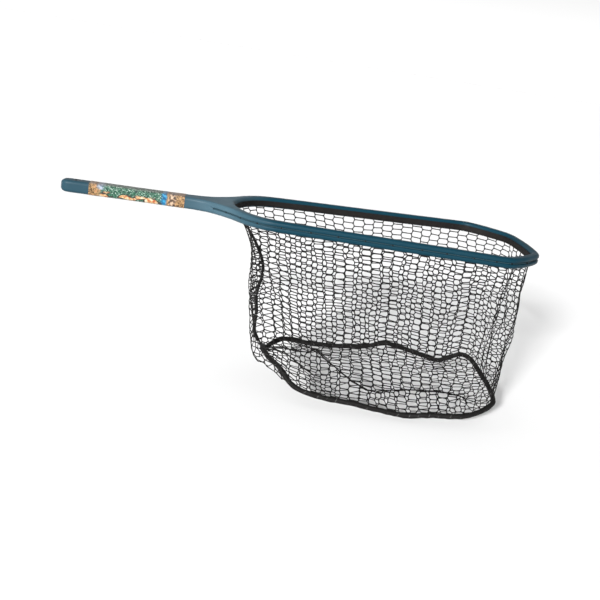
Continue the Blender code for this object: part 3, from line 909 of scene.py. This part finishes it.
def fold(u, t):
    """Height in millimetres of the soft folds: broad pleats with finer ones over them."""
    calm = np.sin(np.pi * t) ** 0.6
    calm = calm * (1 + 1.2 * np.exp(-((u % 1.0 - 0.5) / 0.14) ** 2))
    pleats = (
        2.6 * np.sin(2 * np.pi * (9 * u + 0.25 * np.sin(3.0 * t + 1)) + 0.4)
        + 1.8 * np.sin(2 * np.pi * (17 * u - 0.3 * t) + 2.1)
        + 1.2 * np.sin(2 * np.pi * (29 * u + 0.5 * t) + 4.0)
    )
    rolls = 1.4 * np.sin(2 * np.pi * (2.2 * t + 1.5 * np.sin(2 * np.pi * 3 * u)) + 0.8)
    # The wall bulges on both sides of the throat seam, which pulls it in.
    near_throat = np.abs((u + 0.5) % 1.0 - 0.5)
    beside = np.exp(-((near_throat - LOBE_CENTRE) / LOBE_WIDTH) ** 2)
    lobes = np.interp(t, *np.array(LOBE_HEIGHTS).T) * beside
    at_seam = 1 - np.exp(-((near_throat / SEAM_HOLD) ** 2))
    return (calm * (pleats + rolls) + lobes) * at_seam


def corner_push(u, t):
    """How far the slack near corner hangs out, in millimetres along each axis."""
    share = np.interp(t, *np.array(CORNER_BULGE).T)
    window = np.exp(-((u % 1.0 - CORNER_CENTRE) / CORNER_WIDTH) ** 4)
    reach = share * window * smoothstep(u % 1.0, 0, SEAM_HOLD)
    return reach[..., None] * np.array(CORNER_PUSH)


def wall_surface(u, t):
    """The slack wall with its folds."""
    folds = wall_normals(u, t) * fold(u, t)[..., None]
    return wall_point(u, t) + folds + corner_push(u, t)


# ---- rubber mesh

# Strands are this wide and this deep.
STRAND = 1.8
STRAND_DEPTH = 1.6
# Where each boundary's zigzag turns back, as a share of its column.
FLAT_SHARE = 0.44


def lattice(columns, half_rows, wrap):
    """Flat honeycomb of long cells: point places in units of (column, half row), and its cells.

    Boundary i lies between column i and the next, and zigzags from half row to half row.
    """
    number = {}
    places = []

    def point(i, k):
        key = (i % columns if wrap else i, k)
        if key not in number:
            number[key] = len(places)
            reach = FLAT_SHARE if k % 2 == i % 2 else 1 - FLAT_SHARE
            places.append((key[0] + reach, k))
        return number[key]

    cells = []
    for i in range(columns):
        if i % 2:
            cells.append([point(i - 1, 0), point(i - 1, 1), point(i, 1), point(i, 0)])
        for k in range(i % 2, half_rows, 2):
            bottom = min(k + 2, half_rows)
            left = [point(i - 1, m) for m in range(k, bottom + 1)]
            right = [point(i, m) for m in range(bottom, k - 1, -1)]
            cells.append(left + right)
    return np.array(places, float), cells


# A rounded corner takes up so many millimetres of each edge, and at most this share of it.
CORNER_REACH = 2.6
CORNER_SHARE = 0.33
# A corner moves in by at most this share of the way to the cell's centre.
MITRE_LIMIT = 0.6
SHARPEST_CORNER = 0.3
TINY = 1e-9


def unit(vectors):
    return vectors / (np.linalg.norm(vectors, axis=-1, keepdims=True) + TINY)


def cell_normal(ring):
    """Newell normal of one cell."""
    ring = ring - ring.mean(0)
    return unit(np.cross(ring, np.roll(ring, -1, axis=0)).sum(0))


def rounded_rim(ring):
    """Inner rim of one cell's strands: three points to each corner, cutting it round."""
    normal = cell_normal(ring)
    centre = ring.mean(0)
    ahead = unit(np.roll(ring, -1, axis=0) - ring)
    inward = np.cross(normal, ahead)
    rim = []
    for k, here in enumerate(ring):
        previous = ring[k - 1]
        following = ring[(k + 1) % len(ring)]
        after = inward[k]
        before = inward[k - 1]
        mitre = (before + after) / max(1 + before @ after, SHARPEST_CORNER) * STRAND / 2
        limit = MITRE_LIMIT * np.linalg.norm(centre - here)
        shrink = min(1, limit / (np.linalg.norm(mitre) + TINY))
        low, high = corner_reach(previous, here), corner_reach(following, here)
        start = here + low * (previous - here) + before * shrink * STRAND / 2
        end = here + high * (following - here) + after * shrink * STRAND / 2
        corner = here + mitre * shrink
        rim += [start, 0.25 * start + 0.5 * corner + 0.25 * end, end]
    return rim


def corner_reach(far, near):
    """Share of an edge, from its near end, that a cell's rounded corner takes up."""
    return min(CORNER_SHARE, CORNER_REACH / (np.linalg.norm(far - near) + TINY))


def strand_object(name, points, cells):
    """Rubber mesh over points in millimetres.

    Its strands run along the cells' edges, even in width and thickest along their middle.
    """
    normals = np.zeros_like(points)
    for cell in cells:
        normals[cell] += cell_normal(points[cell])
    normals = unit(normals)
    places, faces, number, uses = [], [], {}, {}

    def spine(key, place, normal):
        """Front point of the strand's middle line; its back point comes next to it."""
        if key not in number:
            number[key] = len(places)
            places.append(place + unit(normal) * STRAND_DEPTH / 2)
            places.append(place - unit(normal) * STRAND_DEPTH / 2)
        return number[key]

    for cell in cells:
        ring = points[cell]
        middle = []
        for k, here in enumerate(cell):
            for far in (cell[k - 1], None, cell[(k + 1) % len(cell)]):
                share = 0 if far is None else corner_reach(points[far], points[here])
                other = here if far is None else far
                middle.append(spine(
                    (here, far),
                    points[here] * (1 - share) + points[other] * share,
                    normals[here] * (1 - share) + normals[other] * share,
                ))
        rim_start = len(places)
        places.extend(rounded_rim(ring))
        count = len(middle)
        for k in range(count):
            a, b = middle[k], middle[(k + 1) % count]
            c, d = rim_start + (k + 1) % count, rim_start + k
            faces.append((a, b, c, d))
            faces.append((d, c, b + 1, a + 1))
            pair = (min(a, b), max(a, b))
            uses[pair] = uses.get(pair, 0) + 1
    faces += [(a, a + 1, b + 1, b) for (a, b), times in uses.items() if times == 1]
    return solid(name, places, faces)


WALL_COLUMNS = 68
WALL_HALF_ROWS = 49
# The wall's cells are uneven by so many columns and half rows, less at the top and bottom.
WALL_JITTER = (0.42, 0.95)
CALM_EDGE = 0.05
FINE_JITTER = 0.12


def uneven(a, b, slow, quick):
    """Broad noise with a little finer noise on top, each (rate along a, rate along b, seed)."""
    broad = smooth_noise(a * slow[0], b * slow[1], slow[2])
    return broad + FINE_JITTER * smooth_noise(a * quick[0], b * quick[1], quick[2])


def make_wall(mat):
    places, cells = lattice(WALL_COLUMNS, WALL_HALF_ROWS, wrap=True)
    u = places[:, 0] / WALL_COLUMNS
    t = places[:, 1] / WALL_HALF_ROWS
    inside = smoothstep(t, 0, CALM_EDGE) * (1 - smoothstep(t, 1 - CALM_EDGE, 1))
    jitter = np.array([
        (uneven(a, b, (0.30, 0.13, 3.1), (1.7, 1.1, 7)),
         uneven(a, b, (0.26, 0.15, 9.7), (1.6, 1.2, 5)))
        for a, b in places
    ])
    u = u + jitter[:, 0] * inside * WALL_JITTER[0] / WALL_COLUMNS
    t = np.clip(t + jitter[:, 1] * inside * WALL_JITTER[1] / WALL_HALF_ROWS, 0, 1)
    wall = strand_object("mesh_wall", wall_surface(u, t), cells)
    dress(wall, mat)
    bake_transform(wall)
    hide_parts("bag_wall")


FLOOR_PITCH_X = 18.6
FLOOR_PITCH_Y = 11.0
FLOOR_SAG = 7.0
# The floor slackens over this distance from the seam.
SLACK_REACH = 25
RIPPLE_HEIGHT = 3.0
# Cells drift off the even grid by up to so many millimetres.
FLOOR_DRIFT = (5.0, 3.0)
# Cells gather towards a crease, over so many times its width.
CREASE_PINCH = 0.95
CREASE_GATHER = 2.1
CREASE_POINTS = 60
# Creases where the slack floor folds over itself: (points along the crest), height, width.
CREASES = [
    ([(431, 61), (444, 37), (460, 15), (484, -13), (508, -38), (537, -55), (581, -46),
      (638, -39), (684, -44), (709, -54)], 16.0, 11.0),
    ([(356, 38), (386, 36), (413, 22), (446, 26)], 13.0, 9.0),
    ([(370, -4), (394, -19), (416, -36)], 12.0, 9.0),
]


def distance_to_line(points, line):
    """Distance of flat points to a polyline, and the vector to its nearest point."""
    best = np.full(len(points), np.inf)
    towards = np.zeros_like(points)
    line = smooth_loop(line, CREASE_POINTS, closed=False)
    for a, b in zip(line, line[1:]):
        ab = b - a
        share = np.clip(((points - a) @ ab) / (ab @ ab), 0, 1)
        gap = a + share[:, None] * ab - points
        size = np.linalg.norm(gap, axis=1)
        closer = size < best
        best[closer] = size[closer]
        towards[closer] = gap[closer]
    return best, towards


def floor_height(points):
    """Height of the bag's floor: it hangs from the seam line, sags, and folds at its creases."""
    edge = SEAM_RING[::SEAM_STRIDE]
    gap = np.linalg.norm(points[:, None, :] - edge[None, :, :2], axis=2)
    weight = 1 / (gap + 0.5) ** 3
    z = (weight * edge[None, :, 2]).sum(1) / weight.sum(1)
    slack = 1 - np.exp(-gap.min(1) / SLACK_REACH)
    z = z - FLOOR_SAG * slack
    for line, height, width in CREASES:
        away, _ = distance_to_line(points, line)
        z = z + height * np.exp(-away / width) * slack
    ripple = np.array([smooth_noise(x * 0.03, y * 0.04, 2.0) for x, y in points])
    return z + RIPPLE_HEIGHT * ripple * slack


def inside_loop(points, loop):
    """True for each flat point that lies inside the loop."""
    x, y = points[:, 0], points[:, 1]
    inside = np.zeros(len(points), bool)
    for a, b in zip(loop, np.roll(loop, -1, axis=0)):
        crosses = (a[1] > y) != (b[1] > y)
        with np.errstate(divide="ignore", invalid="ignore"):
            at = a[0] + (y - a[1]) * (b[0] - a[0]) / (b[1] - a[1])
        inside ^= crosses & (x < at)
    return inside


def make_floor(mat):
    edge = SEAM_RING[::SEAM_STRIDE, :2]
    low, high = edge.min(0), edge.max(0)
    columns = int((high[0] - low[0]) / FLOOR_PITCH_X) + 3
    half_rows = 2 * (int((high[1] - low[1]) / FLOOR_PITCH_Y) + 2)
    places, cells = lattice(columns, half_rows, wrap=False)
    flat = np.column_stack([
        low[0] - 1.2 * FLOOR_PITCH_X + places[:, 0] * FLOOR_PITCH_X,
        low[1] - FLOOR_PITCH_Y + places[:, 1] * FLOOR_PITCH_Y / 2,
    ])
    shift = np.array([
        (smooth_noise(x * 0.02, y * 0.03, 4.0), smooth_noise(x * 0.025, y * 0.03, 8.0))
        for x, y in flat
    ])
    flat = flat + shift * FLOOR_DRIFT
    for line, _height, width in CREASES:
        away, towards = distance_to_line(flat, line)
        pull = CREASE_PINCH * np.exp(-((away / (CREASE_GATHER * width)) ** 2))
        flat = flat + towards * pull[:, None]
    within = inside_loop(flat, edge)
    for n in np.nonzero(~within)[0]:
        flat[n] = nearest_on(edge, flat[n])
    kept = [cell for cell in cells if within[cell].sum() >= 2]
    points = np.column_stack([flat, floor_height(flat)])
    floor = strand_object("mesh_floor", points, kept)
    dress(floor, mat)
    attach(floor, "bag_base")
    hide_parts("bag_floor")


# ---- seams

THREAD_RADIUS = 0.45
STITCH_SLANT = 0.5
STITCH_UNEVENNESS = 0.3
STITCH_SIDES = 18
THREAD_SIDES = 5


def stitch_rings(name, line, spacing, radius):
    """Thread stitches: thin rings round a seam, a little slanted."""
    steps = np.linalg.norm(np.diff(line, axis=0), axis=1)
    lengths = np.concatenate([[0], np.cumsum(steps)])
    count = int(lengths[-1] / spacing)
    points, faces = [], []
    ring_faces = grid_faces(STITCH_SIDES, THREAD_SIDES, close_rows=True)
    for n in range(count):
        drift = STITCH_UNEVENNESS * smooth_noise(n * 0.7, 1, 2)
        at = (n + 0.5 + drift) * lengths[-1] / count
        place = Vector([np.interp(at, lengths, axis) for axis in line.T])
        ahead = Vector([np.interp(min(at + 2, lengths[-1]), lengths, axis) for axis in line.T])
        along = (ahead - place).normalized()
        turn = along.to_track_quat("Z", "Y").to_matrix() @ Matrix.Rotation(STITCH_SLANT, 3, "X")
        axis = turn @ Vector((0, 0, 1))
        start = len(points)
        for a in range(STITCH_SIDES):
            angle = 2 * math.pi * a / STITCH_SIDES
            spoke = turn @ Vector((math.cos(angle), math.sin(angle), 0))
            for b in range(THREAD_SIDES):
                roll = 2 * math.pi * b / THREAD_SIDES
                points.append(place + spoke * (radius + THREAD_RADIUS * math.cos(roll))
                              + axis * THREAD_RADIUS * math.sin(roll))
        faces += [[start + corner for corner in face] for face in ring_faces]
    return solid(name, points, faces)


# The two bindings' radii, points along them, sides and unevenness, and their stitches' spacing
# and radius. The binding down the throat seam thickens towards the floor.
FLOOR_BINDING = 4.5
FLOOR_POINTS = 420
FLOOR_SIDES = 16
FLOOR_UNEVENNESS = 0.2
FLOOR_STITCHES = (18, 4.2)
THROAT_BINDING = (2.0, 3.4)
THROAT_POINTS = 90
THROAT_SIDES = 14
THROAT_UNEVENNESS = 0.25
THROAT_STITCHES = (17, 3.0)
# The throat's binding goes through every so many of the points read down the wall, and its
# stitches leave so many of its own points bare at each end.
WALL_READINGS = 60
READING_STRIDE = 4
BARE_POINTS = 4


def make_seams(rubber_mat, thread_mat):
    """The bindings round the floor and down the throat, with their stitches."""
    line = smooth_loop(SEAM_LINE, FLOOR_POINTS)
    seam = tube("floor_binding", line, FLOOR_BINDING, FLOOR_SIDES, True, FLOOR_UNEVENNESS)
    dress(seam, rubber_mat)
    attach(seam, "bag_base")
    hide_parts("floor_seam")
    closed_line = np.vstack([line, line[:1]])
    ticks = stitch_rings("floor_stitches", closed_line, *FLOOR_STITCHES)
    dress(ticks, thread_mat)
    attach(ticks, "bag_base")

    t = np.linspace(0.0, 1.0, WALL_READINGS)
    profile = wall_surface(np.zeros_like(t), t)
    profile = smooth_loop(profile[::READING_STRIDE], THROAT_POINTS, closed=False)
    radii = np.linspace(*THROAT_BINDING, len(profile))
    upright = tube("throat_binding", profile, radii, THROAT_SIDES, False, THROAT_UNEVENNESS)
    dress(upright, rubber_mat)
    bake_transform(upright)
    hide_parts("throat_seam")
    stitched = profile[BARE_POINTS:-BARE_POINTS]
    ticks = stitch_rings("throat_stitches", stitched, *THROAT_STITCHES)
    dress(ticks, thread_mat)
    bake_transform(ticks)


# ---- stage

# The camera's azimuth, elevation and roll in degrees, its distance, and what it looks at.
CAMERA_ANGLES = (-6.593, 17.174, 9.233)
CAMERA_DISTANCE = 1.4
CAMERA_TARGET = (0.39907, 0, -0.14790)
CAMERA_SENSOR = 36
CAMERA_LENS = 47.3214


def make_camera():
    """Camera a little above the hoop and left of its middle, rolled so that the handle rises."""
    azimuth, elevation, roll = (math.radians(d) for d in CAMERA_ANGLES)
    target = Vector(CAMERA_TARGET)
    back = Vector((math.sin(azimuth) * math.cos(elevation),
                   -math.cos(azimuth) * math.cos(elevation), math.sin(elevation)))
    right = (-back).cross(Vector((0, 0, 1))).normalized()
    up = right.cross(-back)
    across = math.cos(roll) * right + math.sin(roll) * up
    upright = -math.sin(roll) * right + math.cos(roll) * up
    data = bpy.data.cameras.new("camera")
    data.sensor_width = CAMERA_SENSOR
    data.lens = CAMERA_LENS
    camera = bpy.data.objects.new("camera", data)
    bpy.context.scene.collection.objects.link(camera)
    turn = Matrix((across, upright, back)).transposed().to_4x4()
    camera.matrix_world = Matrix.Translation(target + back * CAMERA_DISTANCE) @ turn
    bpy.context.scene.camera = camera


def lamp(name, kind, aim, power, place=(0, 0, 0)):
    """Data of a new light that shines along aim."""
    data = bpy.data.lights.new(name, kind)
    data.energy = power
    light = bpy.data.objects.new(name, data)
    light.location = place
    light.rotation_euler = Vector(aim).to_track_quat("-Z", "Y").to_euler()
    bpy.context.scene.collection.objects.link(light)
    return data


# Brightness of the surroundings from the horizon (0) to straight up (1).
SKY_LEVELS = [(0.0, 1.0), (0.06, 1.0), (0.3, 0.40), (1.0, 0.50)]
SKY_STRENGTH = 1.06


def sky_world():
    """Soft studio surroundings: white round the horizon and dimmer overhead."""
    world = bpy.data.worlds.new("studio")
    world.use_nodes = True
    nodes, links = world.node_tree.nodes, world.node_tree.links
    place = nodes.new("ShaderNodeTexCoord")
    split = nodes.new("ShaderNodeSeparateXYZ")
    ramp = nodes.new("ShaderNodeValToRGB")
    links.new(place.outputs["Generated"], split.inputs["Vector"])
    links.new(split.outputs["Z"], ramp.inputs["Fac"])
    links.new(ramp.outputs["Color"], nodes["Background"].inputs["Color"])
    set_stops(ramp, SKY_LEVELS)
    nodes["Background"].inputs["Strength"].default_value = SKY_STRENGTH
    bpy.context.scene.world = world


# The stage's floor lies a little below the bag.
STAGE_DROP = 0.008
STAGE_SIZE = 200


def make_stage(floor_z):
    sky_world()
    lamp("key", "SUN", (0.43, 0.76, -0.32), 6.6).angle = math.radians(8)
    softbox = lamp("softbox_left", "AREA", (1.6, 0.1, -1.35), 5, (-1.3, -0.1, 1.35))
    softbox.shape = "DISK"
    softbox.size = 1.1
    bm = bmesh.new()
    bmesh.ops.create_grid(bm, x_segments=1, y_segments=1, size=STAGE_SIZE)
    floor = object_from("studio_floor", bm, smooth=False)
    floor.location = (0.4, 0, floor_z)
    dress(floor, paper_floor())
    bpy.context.scene.view_settings.view_transform = "Standard"


# ---- build

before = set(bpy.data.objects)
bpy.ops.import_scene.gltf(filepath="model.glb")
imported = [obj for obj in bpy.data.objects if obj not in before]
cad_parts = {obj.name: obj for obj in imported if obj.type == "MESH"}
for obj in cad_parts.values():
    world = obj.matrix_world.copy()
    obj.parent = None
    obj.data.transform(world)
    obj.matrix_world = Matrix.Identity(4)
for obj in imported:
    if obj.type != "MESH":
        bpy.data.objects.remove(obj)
cad_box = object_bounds()

make_camera()
make_stage(cad_box[0][2] - STAGE_DROP)

LINES = lacing_lines()
black_rubber = rubber("black_rubber", (0.0035, 0.0030, 0.0028), 0.6)
seam_rubber = rubber("seam_rubber", (0.0032, 0.0028, 0.0026), 0.7)
band_rubber = rubber("band_rubber", (0.0045, 0.0036, 0.0032), 0.7)
make_moulding(LINES, painted_moulding())
make_film(printed_film())
make_lacing(LINES, braided_cord("cord_teal", (0.0022, 0.038, 0.056)), black_rubber)
make_band(band_rubber)
make_wall(black_rubber)
make_floor(black_rubber)
make_seams(seam_rubber, thread())

foam_mat = foam()
knot_mat = braided_cord("knot_cord", (0.012, 0.03, 0.038))
for node, mat in (("handle_core", foam_mat), ("hoop_core", foam_mat),
                  ("lanyard_sleeve", plain_plastic()), ("lacing_knot_near", knot_mat),
                  ("lacing_knot_far", knot_mat)):
    dress(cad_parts[node], mat)
